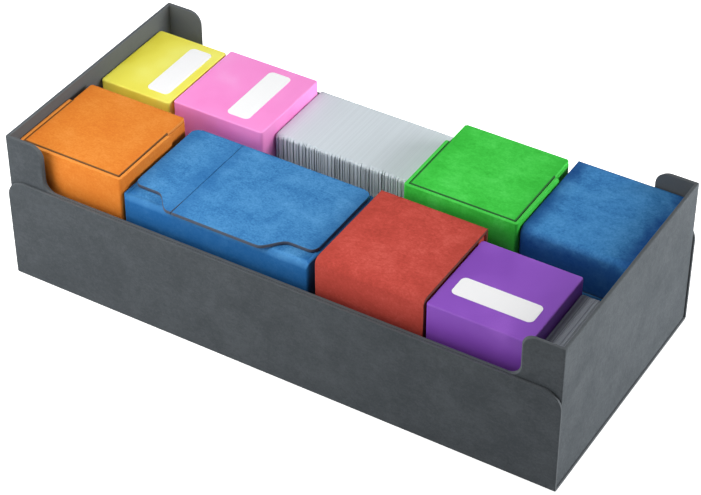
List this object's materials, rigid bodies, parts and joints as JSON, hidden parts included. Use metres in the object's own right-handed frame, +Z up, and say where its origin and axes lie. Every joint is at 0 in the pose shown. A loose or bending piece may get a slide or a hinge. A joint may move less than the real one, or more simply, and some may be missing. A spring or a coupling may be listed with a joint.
{
  "type": "card storage box",
  "caption": "Long open two-row card storage box standing in its channel cover, with low front and back walls between raised ears, filled with lift-out deck boxes and stacks of sleeved cards.",
  "frame": {"origin": "middle of the cover's underside, on the surface that the box stands on", "axes": "+X along the rows to the right, +Y to the back row, +Z up"},
  "size_m": [0.4424, 0.206, 0.1229],
  "materials": {
    "wrap_grey": "matte suede-like wrap over board",
    "lining_grey": "matte lining",
    "wrap_orange": "matte suede-like wrap",
    "wrap_green": "matte suede-like wrap",
    "wrap_red": "matte suede-like wrap",
    "wrap_blue": "matte suede-like wrap",
    "plastic_yellow": "fine matte moulding",
    "plastic_pink": "fine matte moulding",
    "plastic_purple": "fine matte moulding",
    "label": "bare white label",
    "cards": "stacked edges of sleeved cards",
    "magnet": "plated disc"
  },
  "bodies": {
    "cover": {"cover_base": "wrap_grey", "cover_front_panel": "wrap_grey", "cover_back_panel": "wrap_grey"},
    "tray": {"tray_floor": "wrap_grey", "tray_front_wall": "wrap_grey", "tray_back_wall": "wrap_grey", "tray_left_end": "wrap_grey", "tray_right_end": "wrap_grey", "tray_divider": "lining_grey", "tray_lining_front": "lining_grey", "tray_lining_back": "lining_grey"},
    "orange_box": {"orange_band": "wrap_orange", "orange_shell": "wrap_orange"},
    "orange_lid": {"orange_flap": "wrap_orange"},
    "long_box": {"long_shell": "wrap_blue", "long_partition": "wrap_blue", "long_divider": "wrap_blue", "long_ledge_magnet_1": "magnet", "long_ledge_magnet_2": "magnet"},
    "long_main_lid": {"long_main_leaf": "wrap_blue", "long_leaf_magnet_1": "magnet", "long_leaf_magnet_2": "magnet"},
    "long_small_lid": {"long_small_leaf": "wrap_blue"},
    "red_box": {"red_case": "wrap_red", "red_case_magnet": "magnet", "red_wrap_back": "wrap_red", "red_wrap_front": "wrap_red"},
    "red_lid": {"red_flap": "wrap_red", "red_flap_magnet": "magnet"},
    "purple_box": {"purple_body": "plastic_purple"},
    "purple_top": {"purple_lid": "plastic_purple", "purple_label": "label"},
    "short_stack": {"card_bundle": "cards"},
    "yellow_box": {"yellow_body": "plastic_yellow"},
    "yellow_top": {"yellow_lid": "plastic_yellow", "yellow_label": "label"},
    "pink_box": {"pink_body": "plastic_pink"},
    "pink_top": {"pink_lid": "plastic_pink", "pink_label": "label"},
    "long_stack": {"card_block": "cards"},
    "green_box": {"green_band": "wrap_green", "green_shell": "wrap_green"},
    "green_lid": {"green_flap": "wrap_green"},
    "blue_box": {"blue_case": "wrap_blue", "blue_case_magnet": "magnet", "blue_wrap_back": "wrap_blue", "blue_wrap_front": "wrap_blue"},
    "blue_lid": {"blue_flap": "wrap_blue", "blue_flap_magnet": "magnet"}
  },
  "joints": [
    {"name": "tray_lift", "type": "slide", "parent": "cover", "child": "tray", "axis": [0, 0, 1], "range_m": [0, 0.12]},
    {"name": "orange_box_lift", "type": "slide", "parent": "tray", "child": "orange_box", "axis": [0, 0, 1], "range_m": [0, 0.12]},
    {"name": "long_box_lift", "type": "slide", "parent": "tray", "child": "long_box", "axis": [0, 0, 1], "range_m": [0, 0.12]},
    {"name": "red_box_lift", "type": "slide", "parent": "tray", "child": "red_box", "axis": [0, 0, 1], "range_m": [0, 0.12]},
    {"name": "purple_box_lift", "type": "slide", "parent": "tray", "child": "purple_box", "axis": [0, 0, 1], "range_m": [0, 0.12]},
    {"name": "short_stack_lift", "type": "slide", "parent": "tray", "child": "short_stack", "axis": [0, 0, 1], "range_m": [0, 0.12]},
    {"name": "yellow_box_lift", "type": "slide", "parent": "tray", "child": "yellow_box", "axis": [0, 0, 1], "range_m": [0, 0.12]},
    {"name": "pink_box_lift", "type": "slide", "parent": "tray", "child": "pink_box", "axis": [0, 0, 1], "range_m": [0, 0.12]},
    {"name": "long_stack_lift", "type": "slide", "parent": "tray", "child": "long_stack", "axis": [0, 0, 1], "range_m": [0, 0.12]},
    {"name": "green_box_lift", "type": "slide", "parent": "tray", "child": "green_box", "axis": [0, 0, 1], "range_m": [0, 0.12]},
    {"name": "blue_box_lift", "type": "slide", "parent": "tray", "child": "blue_box", "axis": [0, 0, 1], "range_m": [0, 0.12]},
    {"name": "orange_flap_hinge", "type": "hinge", "parent": "orange_box", "child": "orange_lid", "pos_m": [-0.1726, -0.00827, 0.1138], "axis": [-1, 0, 0], "range_deg": [0, 95]},
    {"name": "long_main_leaf_hinge", "type": "hinge", "parent": "long_box", "child": "long_main_lid", "pos_m": [-0.03082, -0.0038, 0.1049], "axis": [-1, 0, 0], "range_deg": [0, 95]},
    {"name": "long_small_leaf_hinge", "type": "hinge", "parent": "long_box", "child": "long_small_lid", "pos_m": [-0.10512, -0.0038, 0.1049], "axis": [-1, 0, 0], "range_deg": [0, 95]},
    {"name": "red_flap_hinge", "type": "hinge", "parent": "red_box", "child": "red_lid", "pos_m": [0.0716, -0.00453, 0.1103], "axis": [-1, 0, 0], "range_deg": [0, 95]},
    {"name": "green_flap_hinge", "type": "hinge", "parent": "green_box", "child": "green_lid", "pos_m": [0.0858, 0.08899, 0.1138], "axis": [-1, 0, 0], "range_deg": [0, 170]},
    {"name": "blue_flap_hinge", "type": "hinge", "parent": "blue_box", "child": "blue_lid", "pos_m": [0.1729, 0.09565, 0.1103], "axis": [-1, 0, 0], "range_deg": [0, 95]},
    {"name": "purple_lid_lift", "type": "slide", "parent": "purple_box", "child": "purple_top", "axis": [0, 0, 1], "range_m": [0, 0.045]},
    {"name": "yellow_lid_lift", "type": "slide", "parent": "yellow_box", "child": "yellow_top", "axis": [0, 0, 1], "range_m": [0, 0.045]},
    {"name": "pink_lid_lift", "type": "slide", "parent": "pink_box", "child": "pink_top", "axis": [0, 0, 1], "range_m": [0, 0.045]}
  ]
}
